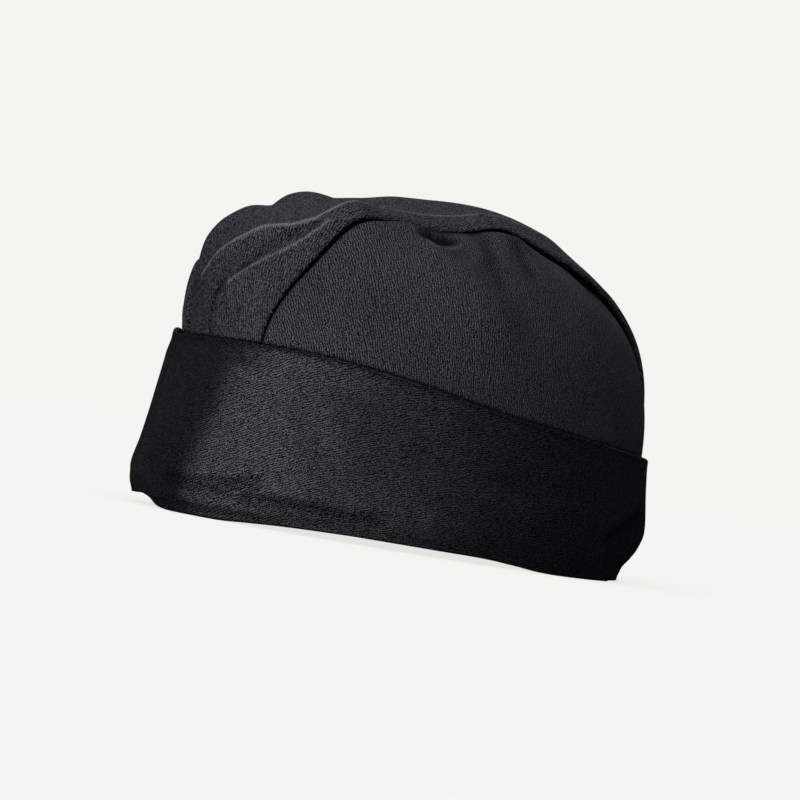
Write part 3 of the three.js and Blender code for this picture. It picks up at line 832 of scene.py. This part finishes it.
def band_tree(values):
    """A Geometry Nodes tree that bends a flat grid round the head and folds it over into a double band."""
    tree = bpy.data.node_groups.new("folded band", "GeometryNodeTree")
    tree.interface.new_socket("Geometry", in_out="OUTPUT", socket_type="NodeSocketGeometry")
    kinds = {int: "NodeSocketInt", float: "NodeSocketFloat", bpy.types.Material: "NodeSocketMaterial"}
    for name, value in values.items():
        tree.interface.new_socket(name, in_out="INPUT", socket_type=kinds[type(value)])
    graph = Graph(tree)
    given = tree.nodes.new("NodeGroupInput")
    size = {name: Socket(graph, given.outputs[name]) for name in values}

    grid = graph.add(
        "GeometryNodeMeshGrid",
        inputs={"Size X": 1, "Size Y": 1, "Vertices X": size["Columns"], "Vertices Y": size["Rows"]},
    )
    place = graph.add("GeometryNodeInputPosition")
    round_head = graph.part(place, "X") + 0.5
    round_fold = graph.part(place, "Y") + 0.5

    def part(start, end):
        """How far the fold has come between two of its places."""
        return graph.clamp((round_fold - start) * (1 / (end - start)))

    outside_end, top_end, inside_end = BAND_FOLD_PLACES
    top_turn = part(outside_end, top_end)
    rim_turn = part(inside_end, 1)
    share = part(0, outside_end) - part(top_end, inside_end)
    depth = 0.5 * (graph.math("COSINE", rim_turn * math.pi) - graph.math("COSINE", top_turn * math.pi))
    bulge = graph.math("SINE", top_turn * math.pi) - graph.math("SINE", rim_turn * math.pi)

    def curve(rows, place_name, column, at):
        """A column of a table as a curve over the range 0 to 1."""
        places = np.linspace(rows[place_name][0], rows[place_name][-1], CURVE_POINTS)
        values = along(rows, place_name, column, places)
        points = list(zip(np.linspace(0, 1, CURVE_POINTS).tolist(), values.tolist()))
        return graph.add("ShaderNodeFloatCurve", {"points": points}, {"Value": at})

    angle = (round_head - 0.5) * (2 * math.pi)
    sine, cosine = graph.math("SINE", angle), graph.math("COSINE", angle)
    is_front = graph.math("GREATER_THAN", cosine, 0)
    side, front, back = (
        size[f"{name.capitalize()} reach"] * curve(BAND_SECTIONS, "height", name, share)
        for name in ("side", "front", "back")
    )
    lengthways = back + (front - back) * is_front
    x, y = side * sine, lengthways * cosine * -1
    top, rim = (size["Height"] * curve(BAND_EDGES, "azimuth", name, round_head) for name in ("top", "rim"))

    away = graph.math("ABSOLUTE", angle)
    zone = graph.smooth_step(away, math.radians(GATHER_ZONE["from"]), math.radians(GATHER_ZONE["full"]))
    fade = graph.smooth_step(1 - share / GATHER_TOP, 0, 1)
    sway = graph.math("SINE", angle * GATHER_SWAY["count"]) * GATHER_SWAY["turn"]
    wave = graph.math("COSINE", angle * size["Gather count"] + sway)
    lift = size["Gather depth"] * zone * fade * wave

    far = graph.math("SQRT", x * x + y * y)
    facing_x, facing_y = lengthways * sine, side * cosine * -1
    facing = graph.math("SQRT", facing_x * facing_x + facing_y * facing_y)
    inwards = size["Thickness"] * depth / facing
    new_x = x + lift * x / far - facing_x * inwards
    new_y = y + lift * y / far - facing_y * inwards
    new_z = rim * (1 - share) * (1 - share) + (top - size["Thickness"] * 0.5) * share
    rim_bulge = graph.math("SINE", rim_turn * math.pi)
    new_z = new_z + bulge * size["Thickness"] * 0.5 + rim_bulge * size["Thickness"] * 0.5
    placed = graph.add(
        "GeometryNodeSetPosition",
        inputs={"Geometry": grid, "Position": graph.vector(new_x, new_y, new_z)},
    )
    # The attributes hold each point's own place, so they are stored before the grid is bent
    stored = grid
    for name, value in (("azimuth", angle * (180 / math.pi)), ("share", share), ("depth", depth)):
        stored = graph.add(
            "GeometryNodeStoreNamedAttribute",
            {"data_type": "FLOAT", "domain": "POINT"},
            {"Geometry": stored, "Name": name, "Value": value},
        )
    girth = math.pi * (size["Side reach"] + (size["Front reach"] + size["Back reach"]) * 0.5)
    climb = size["Height"] * (part(0, outside_end) + part(top_end, inside_end))
    climb = climb + (top_turn + rim_turn) * size["Thickness"] * (math.pi / 2)
    stored = graph.add(
        "GeometryNodeStoreNamedAttribute",
        {"data_type": "FLOAT2", "domain": "CORNER"},
        {"Geometry": stored, "Name": "cloth", "Value": graph.vector(round_head * girth, climb, 0)},
    )
    tree.links.new(stored.output, placed.output.node.inputs["Geometry"])
    welded = graph.add("GeometryNodeMergeByDistance", inputs={"Geometry": placed, "Distance": 1e-6})
    smooth = graph.add("GeometryNodeSetShadeSmooth", inputs={"Geometry": welded})
    realized = graph.add("GeometryNodeRealizeInstances", inputs={"Geometry": smooth})
    clothed = graph.add("GeometryNodeSetMaterial", inputs={"Geometry": realized, "Material": size["Cloth"]})
    made = tree.nodes.new("NodeGroupOutput")
    tree.links.new(clothed.output, made.inputs["Geometry"])
    return tree


BAND_FOLD_PLACES = (0.455, 0.515, 0.97)  # where the fold leaves the outside, the top edge and the inside
BAND_COLUMNS = 620
BAND_ROWS = 128
CURVE_POINTS = 41
GATHER_ZONE = {"from": 122, "full": 146}  # azimuths
GATHER_SWAY = {"count": 5, "turn": 2.2}  # how often round the head and how far, in radians, the gathers drift
GATHER_TOP = 0.78  # share of the band's height at which the gathers have died out


def baked(name, tree, values):
    """The plain mesh that a tree makes from those values of its inputs."""
    holder = bpy.data.objects.new(name, bpy.data.meshes.new(name))
    bpy.context.scene.collection.objects.link(holder)
    modifier = holder.modifiers.new("shape", "NODES")
    modifier.node_group = tree
    for item in tree.interface.items_tree:
        if item.in_out == "INPUT":
            modifier[item.identifier] = values[item.name]
    graph = bpy.context.evaluated_depsgraph_get()
    mesh = bpy.data.meshes.new_from_object(
        holder.evaluated_get(graph), preserve_all_data_layers=True, depsgraph=graph
    )
    holder.modifiers.clear()
    bpy.data.objects.remove(holder)
    return mesh


def read_points(mesh):
    points = np.empty(len(mesh.vertices) * 3, dtype=np.float32)
    mesh.vertices.foreach_get("co", points)
    return points.reshape(-1, 3).astype(float)


def read_attribute(mesh, name):
    values = np.empty(len(mesh.vertices), dtype=np.float32)
    mesh.attributes[name].data.foreach_get("value", values)
    return values.astype(float)


class CAP_OT_band(bpy.types.Operator):
    """Make the folded band with its gathers and creases"""

    bl_idname = "cap.band"
    bl_label = "Band"

    def execute(self, context):
        sizes = context.scene.cap_sizes
        shape = BandShape(sizes)
        finish = context.scene.cap_finish
        cloth = twill("band twill", BAND_RIB_TURN, 1, finish.band_roughness, finish.band_shine, 1)
        values = {
            "Columns": BAND_COLUMNS + 1,
            "Rows": BAND_ROWS + 1,
            "Side reach": sizes.side_reach,
            "Front reach": sizes.front_reach,
            "Back reach": sizes.back_reach,
            "Height": sizes.band_height,
            "Thickness": sizes.band_thickness,
            "Gather depth": sizes.gather_depth,
            "Gather count": sizes.gather_count,
            "Cloth": cloth,
        }
        mesh = baked("cap_band", band_tree(values), values)
        if not mesh.vertices:
            raise RuntimeError("the band's tree made no mesh")
        points = read_points(mesh)
        azimuth, share, depth = (read_attribute(mesh, name) for name in ("azimuth", "share", "depth"))
        base = shape.smooth(azimuth, share)
        outwards = unit(stack(base[:, 0], base[:, 1], 0))
        away = np.clip((1 - share) / LIFT_FADE, 0, 1)
        length = np.radians(azimuth) * (sizes.side_reach + sizes.front_reach) / 2
        cloth_place = stack(length, share * sizes.band_height)
        folded, crease_wear_and_painted_light = fold_lift(BAND_FOLDS, base, shape.smooth)
        closed = ease((180 - np.abs(azimuth)) / CLOSING)
        lift = (folded + ripple("band", cloth_place) * closed) * away
        points += outwards * lift[:, None] + place_on_frame()
        faces = np.array([list(face.vertices) for face in mesh.polygons])
        if signed_volume(points, faces) < 0:
            mesh.flip_normals()
        mesh.vertices.foreach_set("co", points.astype(np.float32).ravel())
        # Painted shade along the band's top edge; elsewhere the folds' rubbing and painted light.
        painted_shade = TOP_SHADE * np.exp(-(((1 - share) * sizes.band_height / TOP_SHADE_REACH) ** 2))
        worn = np.where(painted_shade > FAINT, -painted_shade, crease_wear_and_painted_light) * (depth < OUTER_DEPTH)
        finish_mesh(mesh, None, worn)
        piece = show("cap_band", mesh, cloth)
        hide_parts("band")
        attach(piece, "root")
        return {"FINISHED"}


BAND_RIB_TURN = 65
LIFT_FADE = 0.125  # share of the band's height, below its top, over which its folds fade out
CLOSING = 12  # degrees over which the ripples fade out at the back, so that both ends of the ring meet alike
FAINT = 0.01  # painted shade up to which none is shown
TOP_SHADE = 0.3  # strength of the painted shade on the band's top edge
TOP_SHADE_REACH = 1.2 * MM
OUTER_DEPTH = 0.6  # depth in the fold up to which cloth counts as outside


# The strip over the middle


class CAP_OT_top_strip(bpy.types.Operator):
    """Make the strip that runs over the head from the front to the back"""

    bl_idname = "cap.top_strip"
    bl_label = "Top strip"

    def execute(self, context):
        sizes = context.scene.cap_sizes
        crown = CrownShape(sizes)
        edge = crown.seam_at - sizes.piece_gap / 2

        def outside(over, across):
            """The surface and its wear. The share across is -1 at the right seam and 1 at the left one."""
            way = np.clip(over / math.pi, 0, 1)
            value = {name: along(STRIP_SECTIONS, "way", name, way) * MM for name in list(STRIP_SECTIONS)[1:]}
            lift = mix(value["right"], value["left"], np.clip((across + 1) / 2, 0, 1))
            radius = np.maximum(crown.shoulder, lift)
            start = 1 - radius / crown.seam_at
            turned = np.clip((np.abs(across) - start) / (1 - start), 0, 1)
            standing = np.sqrt(1 - turned**2)
            lean = np.where(across > 0, value["left_lean"], value["right_lean"])
            lean = lean * 4 * standing * (1 - standing)
            base = crown.in_slice(edge * across, over)
            normal = crown.slice_normal(edge * across, over)
            puff = value["puff"] * (1 - across**2) + lift
            folds, crease_wear_and_painted_light = fold_lift(STRIP_FOLDS, base, crown.in_plan)
            folds = folds * (1 - turned)
            folds += ripple("strip", stack(edge * across, over * crown.arc))
            height = (puff + folds) * crown.clear_of_band(base) - radius * (1 - standing)
            point = base + normal * height[..., None]
            point[..., 0] += np.sign(across) * lean
            # Painted shade on the edge turned in at a seam and just above the band.
            under = ease((turned - TURNED_IN) / (1 - TURNED_IN))
            painted_shade = np.maximum(under, crown.shade_of_band(base)) * EDGE_SHADE
            # A painted highlight line along the right edge, near the front.
            line = np.exp(-(((turned - PAINTED_EDGE_HIGHLIGHT["at"]) / PAINTED_EDGE_HIGHLIGHT["width"]) ** 2)) * (across < 0)
            wear_and_painted_highlight = PAINTED_EDGE_HIGHLIGHT["wear"] * line * ease(1 - way / PAINTED_EDGE_HIGHLIGHT["until"])
            return point, np.where(painted_shade > 0, -painted_shade, crease_wear_and_painted_light * (1 - turned) + wear_and_painted_highlight)

        stations = crown.stations(STRIP_STATIONS, SKIRT_STEPS, FRONT_CROWDING)
        over, share = np.meshgrid(stations, np.linspace(-1, 1, STRIP_ACROSS), indexing="ij")
        across = np.sin(share * math.pi / 2) * (1 - 1e-4)
        surface, worn = outside(over, across)
        normal = normals_of_grid(surface)
        inside = surface - normal * sizes.panel_thickness
        sides = []
        for side, column in ((-1, 0), (1, -1)):
            foot = surface[:, column].copy()
            foot[:, 0] = side * edge
            inwards = crown.slice_normal(foot[:, 0], over[:, 0])
            steps = range(SEAM_STEPS, 0, -1)
            flange = [foot - inwards * crown.seam_allowance * step / SEAM_STEPS for step in steps]
            flange_inside = [points - [side * sizes.panel_thickness, 0, 0] for points in flange]
            # A lip under the panel's own allowance keeps light from shining through the seam
            corner = foot - inwards * (crown.seam_allowance + crown.shoulder + LIP_CLEARANCE)
            lip = corner + [side * SEAM_LIP, 0, 0]
            under = inwards * sizes.panel_thickness
            flange = [lip, corner, *flange[1:]]
            corner_inside = corner - under - [side * sizes.panel_thickness, 0, 0]
            flange_inside = [lip - under, corner_inside, *flange_inside[1:]]
            sides.append((np.stack(flange, axis=1), np.stack(flange_inside, axis=1)))
        outer = np.concatenate([sides[0][0], surface, sides[1][0][:, ::-1]], axis=1)
        inner = np.concatenate([sides[0][1], inside, sides[1][1][:, ::-1]], axis=1)
        outer, inner = crown.narrowed(outer), crown.narrowed(inner)
        cloth = cloth_lengths(outer)[..., ::-1]
        added = sides[0][0].shape[1]
        # The seam allowances are wholly in painted shade.
        worn = np.pad(worn, ((0, 0), (added, added)), constant_values=-1)
        mesh = shell_mesh("cap_strip", outer + place_on_frame(), inner + place_on_frame(), cloth, worn)
        material = crown_twill("strip twill", STRIP_RIB_TURN, 2, STRIP_RIB_DEPTH)
        piece = show("cap_strip", mesh, material)
        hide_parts("top_strip")
        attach(piece, "root")
        return {"FINISHED"}


STRIP_STATIONS = 340
STRIP_ACROSS = 110
SKIRT_STEPS = 5
SEAM_STEPS = 4
FRONT_CROWDING = 0.45  # how much closer together the strip's stations are at the front
SEAM_LIP = 1.8 * MM
LIP_CLEARANCE = 0.6 * MM  # from the lip to the end of the panel's allowance
TURNED_IN = 0.92  # share of the turn at a seam from which its edge gets painted shade
PAINTED_EDGE_HIGHLIGHT = {"at": 0.4, "width": 0.2, "wear": 0.7, "until": 0.12}  # the painted highlight line along the strip's right edge
STRIP_RIB_TURN = -20
STRIP_RIB_DEPTH = 0.88  # of the dark between its ribs, where the strip is stretched
EDGE_SHADE = 0.9  # strength of the painted shade at the seams and just above the band
CROWN_PALENESS = 2.6  # of the crown's cloth, which is brushed, against the band's


def normals_of_grid(points):
    """Outward normals of a grid of points whose columns run to the back and rows to the left."""
    return unit(np.cross(np.gradient(points, axis=1), np.gradient(points, axis=0)))


def flat_size(cloth):
    """Width and length of the box round a flat cut."""
    spread = cloth.reshape(-1, 2).max(axis=0) - cloth.reshape(-1, 2).min(axis=0)
    return tuple(float(x) for x in spread)


# The side panels


def panel_piece(name, node, side, folds, which):
    """One side panel, which is worked out on its own side and built mirrored on the right."""
    sizes = bpy.context.scene.cap_sizes
    crown = CrownShape(sizes)
    seam = crown.seam_at + sizes.piece_gap / 2
    shoulder = seam + crown.shoulder * SHOULDER_SHARE
    flip = np.array([side, 1, 1])

    def outside(u, v):
        base = crown.on_map(u * side, v)
        normal = normal_of(crown.on_map, u * side, v)
        beside = np.abs(base[..., 0]) - crown.seam_at
        folded, crease_wear_and_painted_light = fold_lift(folds, base, crown.in_plan)
        folded += ripple(which, stack(base[..., 1], base[..., 2] + np.abs(base[..., 0])))
        lift = folded * ease(beside / SEAM_FADE) * crown.clear_of_band(base)
        # Painted shade beside the seam, where the strip leans over, and just above the band.
        shadow = np.exp(-(((beside - SEAM_SHADE["at"]) / SEAM_SHADE["width"]) ** 2))
        shadow = shadow * ease(base[..., 1] / crown.reach[1] / SEAM_SHADE["fade"] + SEAM_SHADE["start"])
        painted_shade = np.maximum(shadow, crown.shade_of_band(base)) * EDGE_SHADE
        worn = np.where(painted_shade > FAINT, crease_wear_and_painted_light * (1 - painted_shade) - painted_shade, crease_wear_and_painted_light)
        return (base + normal * lift[..., None]) * flip, worn

    first = math.asin(shoulder / crown.reach[0])
    skirt = 1 + crown.skirt_angle * 2 / math.pi
    over = crown.stations(PANEL_STATIONS, SKIRT_STEPS)
    way = (over + crown.skirt_angle) / (math.pi + 2 * crown.skirt_angle)
    azimuth = mix(first, math.pi - first, way)
    foot = stack(np.sin(azimuth), -np.cos(azimuth)) * skirt
    head = stack(*crown.slice_on_map(shoulder, over))
    share = np.linspace(0, 1, PANEL_ROWS)
    place = foot[:, None] + (head - foot)[:, None] * share[:, None]
    u, v = place[..., 0], place[..., 1]
    surface, worn = outside(u, v)
    normal = normal_of(lambda u, v: outside(u, v)[0], u, v) * side
    normal *= np.sign(np.einsum("ijk,ijk->", normal, surface - [0, 0, FOLD_CENTRE]))
    inside = surface - normal * sizes.panel_thickness
    last, start = surface[:, -1], normal[:, -1]
    to_seam = np.array([-1.0, 0, 0])
    rest = last + (to_seam - start) * crown.shoulder
    outer, inner = [surface], [inside]
    for k in range(1, SHOULDER_STEPS + 1):
        turned = k / SHOULDER_STEPS
        facing = unit(mix(start, to_seam, turned**TURN_POWER))
        point = last + (facing - start) * crown.shoulder
        point[:, 0] += (seam - rest[:, 0]) * turned
        outer.append(point[:, None])
        inner.append((point - facing * sizes.panel_thickness)[:, None])
    corner = outer[-1][:, 0]
    down = crown.slice_normal(np.full(len(over), seam * side), over)
    for k in range(1, SEAM_STEPS + 1):
        end = corner - down * (crown.seam_allowance * k / SEAM_STEPS)
        end[:, 0] = seam
        outer.append(end[:, None])
        inner.append((end + [sizes.panel_thickness, 0, 0])[:, None])
    outer = crown.narrowed(np.concatenate(outer, axis=1)) * flip
    inner = crown.narrowed(np.concatenate(inner, axis=1)) * flip
    cloth = cloth_lengths(outer)
    shift = place_on_frame()
    # Painted shade grows over the shoulder and the seam allowance.
    worn = np.pad(worn, ((0, 0), (0, outer.shape[1] - worn.shape[1])), "linear_ramp", end_values=-1)
    mesh = shell_mesh(name, outer + shift, inner + shift, cloth, worn)
    material = crown_twill(f"{name} twill", PANEL_RIB_TURN, RIPPLES[which][2])
    piece = show(name, mesh, material)
    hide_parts(node)
    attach(piece, "root")
    flat_size(cloth)
    cut_area(cloth)


def cut_area(cloth):
    """Area of a flat cut."""
    a, b, c, d = cloth[:-1, :-1], cloth[1:, :-1], cloth[1:, 1:], cloth[:-1, 1:]
    p, q = c - a, d - b
    return float(np.abs(p[..., 0] * q[..., 1] - p[..., 1] * q[..., 0]).sum() / 2)


PANEL_STATIONS = 240
PANEL_ROWS = 92
PANEL_RIB_TURN = 6
SHOULDER_STEPS = 6
SHOULDER_SHARE = 1.25  # how far from its seam a panel starts to turn in, in shoulder radii
TURN_POWER = 1.2  # above 1, the turn at the shoulder starts gently
SEAM_FADE = 6 * MM  # distance from a seam over which a panel's folds grow to their full lift
# The shade beside a seam: how far from it, how wide, and where it fades towards the front, in half lengths
SEAM_SHADE = {"at": 2 * MM, "width": 2.4 * MM, "fade": 0.15, "start": 2.6}


class CAP_OT_side_panels(bpy.types.Operator):
    """Make the panel on each side of the strip"""

    bl_idname = "cap.side_panels"
    bl_label = "Side panels"

    def execute(self, context):
        panel_piece("cap_left_panel", "left_side_panel", 1, LEFT_FOLDS, "left")
        panel_piece("cap_right_panel", "right_side_panel", -1, RIGHT_FOLDS, "right")
        return {"FINISHED"}


# The stage


class CAP_OT_stage(bpy.types.Operator):
    """Make the pale floor, the soft light and the camera"""

    bl_idname = "cap.stage"
    bl_label = "Stage"

    def execute(self, context):
        add_floor(context)
        add_backdrop(context)
        add_camera(context)
        for k, (azimuth, elevation, share, spread) in enumerate(zip(*LIGHTS.values())):
            add_sun(f"soft light {k + 1}", context.scene.cap_light.power * share, azimuth, elevation, spread)
        context.scene.view_settings.view_transform = "Standard"
        return {"FINISHED"}


# The soft lights: where each stands, its share of the power, and how wide it looks, in degrees

LIGHTS = table(
    "azimuth elevation share spread",
    (0, 8, 0.18, 44),
    (28, 10, 0.16, 42),
    (0, -20, 0.16, 46),
    (55, -20, 0.15, 50),
    (67, 5, 0.03, 40),
    (95, -38, 0.02, 50),
    (-75, 15, 0.008, 50),
    (20, 84, 0.20, 50),
    (-30, 58, 0.07, 40),
    (95, 58, 0.10, 40),
    (88, 14, 0.035, 40),
    (135, 35, 0.015, 36),
    (233, 46, 0.07, 60),
)
LIGHT_COLOUR = (0.99, 0.99, 1.05)

FLOOR_REACH = 30
LIGHT_DISTANCE = 3
DIM_DISTANCE = 0.004  # brightness of the distance as the cloth sees it
SHADED_SHARE = 0.15  # of the floor's brightness that comes from the lights, the rest is its own
CAMERA = {"azimuth": 53, "distance": 1.1, "height": 0.0317, "lens": 128.7, "roll": 9.7}
CAMERA_TARGET = {"right": -0.0036, "height": 0.0548}


def add_floor(context):
    """A wide pale floor, as bright as the distance. The low lights light the cloth in its place."""
    mesh = bpy.data.meshes.new("floor")
    r = FLOOR_REACH
    mesh.from_pydata([(-r, -r, 0), (r, -r, 0), (r, r, 0), (-r, r, 0)], [], [(0, 1, 2, 3)])
    material = bpy.data.materials.new("pale floor")
    graph = graph_of(material)
    light = context.scene.cap_light
    downwards = light.power * float(np.sum(LIGHTS["share"] * np.sin(np.radians(LIGHTS["elevation"])).clip(0)))
    shaded = SHADED_SHARE * math.pi / downwards
    matt = graph.add(
        "ShaderNodeBsdfPrincipled",
        inputs={
            "Base Color": (*[shaded * part for part in light.backdrop_colour], 1),
            "Roughness": 1.0,
            "Specular IOR Level": 0.0,
            "Emission Color": (*light.backdrop_colour, 1),
            "Emission Strength": 1 - SHADED_SHARE,
        },
    )
    graph.add("ShaderNodeOutputMaterial", inputs={"Surface": matt})
    floor = show("floor", mesh, material)
    floor.visible_diffuse = False
    floor.visible_glossy = False
    floor.visible_shadow = False


def add_backdrop(context):
    """A pale distance for the camera, and a dim one for the cloth."""
    world = bpy.data.worlds.new("studio")
    graph = graph_of(world)
    seen = graph.add("ShaderNodeLightPath", output="Is Camera Ray")
    pale = graph.add(
        "ShaderNodeBackground", inputs={"Color": (*context.scene.cap_light.backdrop_colour, 1), "Strength": 1}
    )
    dim = graph.add("ShaderNodeBackground", inputs={"Color": (1, 1, 1, 1), "Strength": DIM_DISTANCE})
    both = graph.add("ShaderNodeMixShader", inputs={0: seen, 1: dim, 2: pale})
    graph.add("ShaderNodeOutputWorld", inputs={"Surface": both})
    context.scene.world = world


def add_sun(name, power, azimuth, elevation, spread):
    """A soft far light from an azimuth and an elevation, as wide as that angle."""
    data = bpy.data.lights.new(name, "SUN")
    data.energy = power
    data.angle = math.radians(spread)
    data.color = LIGHT_COLOUR
    lamp = bpy.data.objects.new(name, data)
    bpy.context.scene.collection.objects.link(lamp)
    turn, rise = math.radians(azimuth), math.radians(elevation)
    way = Vector((math.sin(turn) * math.cos(rise), -math.cos(turn) * math.cos(rise), math.sin(rise)))
    lamp.rotation_mode = "QUATERNION"
    lamp.rotation_quaternion = way.to_track_quat("Z", "Y")
    lamp.location = way * LIGHT_DISTANCE


def add_camera(context):
    """The camera at the front left of the cap, turned a little about its own axis."""
    turn = math.radians(CAMERA["azimuth"])
    right = Vector((math.cos(turn), math.sin(turn), 0))
    back = Vector((math.sin(turn), -math.cos(turn), 0))
    place = back * CAMERA["distance"] + Vector((0, 0, CAMERA["height"]))
    target = right * CAMERA_TARGET["right"] + Vector((0, 0, CAMERA_TARGET["height"]))
    look = (target - place).normalized()
    level = look.cross(Vector((0, 0, 1))).normalized()
    upright = level.cross(look)
    roll = math.radians(CAMERA["roll"])
    across = level * math.cos(roll) + upright * math.sin(roll)
    up = upright * math.cos(roll) - level * math.sin(roll)
    data = bpy.data.cameras.new("camera")
    data.lens = CAMERA["lens"]
    data.sensor_width = 36
    data.clip_start, data.clip_end = 0.01, 100
    camera = bpy.data.objects.new("camera", data)
    camera.matrix_world = Matrix.Translation(place) @ Matrix((across, up, -look)).transposed().to_4x4()
    context.scene.collection.objects.link(camera)
    context.scene.camera = camera


# The sidebar


class CAP_PT_sidebar(bpy.types.Panel):
    """The cap's pieces and sizes"""

    bl_label = "Skull Cap"
    bl_space_type = "VIEW_3D"
    bl_region_type = "UI"
    bl_category = "Skull Cap"

    def draw(self, context):
        for operator in OPERATORS:
            self.layout.operator(operator.bl_idname)
        for group in (context.scene.cap_sizes, context.scene.cap_finish, context.scene.cap_light):
            for name in group.bl_rna.properties.keys():
                if name not in ("rna_type", "name"):
                    self.layout.prop(group, name)


SETTINGS = {"cap_sizes": CapSizes, "cap_finish": TwillFinish, "cap_light": StudioLight}
OPERATORS = (CAP_OT_stage, CAP_OT_band, CAP_OT_top_strip, CAP_OT_side_panels)


def register():
    for kind in (*SETTINGS.values(), *OPERATORS, CAP_PT_sidebar):
        bpy.utils.register_class(kind)
    for name, kind in SETTINGS.items():
        setattr(bpy.types.Scene, name, bpy.props.PointerProperty(type=kind))


def unregister():
    for name in SETTINGS:
        delattr(bpy.types.Scene, name)
    for kind in (CAP_PT_sidebar, *reversed(OPERATORS), *SETTINGS.values()):
        bpy.utils.unregister_class(kind)


def main():
    """Makes every piece and the stage."""
    register()
    bpy.ops.cap.stage()
    bpy.ops.cap.band()
    bpy.ops.cap.top_strip()
    bpy.ops.cap.side_panels()


if __name__ == "__main__":
    main()
